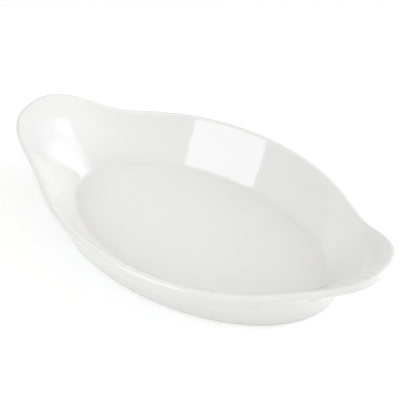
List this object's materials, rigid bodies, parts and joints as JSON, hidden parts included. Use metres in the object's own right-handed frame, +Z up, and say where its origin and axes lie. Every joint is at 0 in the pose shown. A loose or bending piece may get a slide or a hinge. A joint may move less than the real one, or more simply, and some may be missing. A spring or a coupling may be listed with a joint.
{
  "type": "gratin dish",
  "caption": "Oval baking dish in white glazed porcelain, with a flared wall, a rounded rim, a ribbed ear at each end to lift it by, and a low foot ring.",
  "frame": {"origin": "middle of the dish at the level of the table, on the foot ring's resting face", "axes": "+X along the long axis towards one ear, +Y across the dish, +Z up"},
  "size_m": [0.262, 0.1484, 0.0477],
  "materials": {
    "glazed_porcelain": "clear gloss glaze over white porcelain",
    "bare_porcelain": "unglazed, ground smooth where it rests"
  },
  "bodies": {
    "root": {"bowl": "glazed_porcelain", "ear_left": "glazed_porcelain", "ear_right": "glazed_porcelain", "foot_ring": "bare_porcelain"}
  },
  "joints": []
}
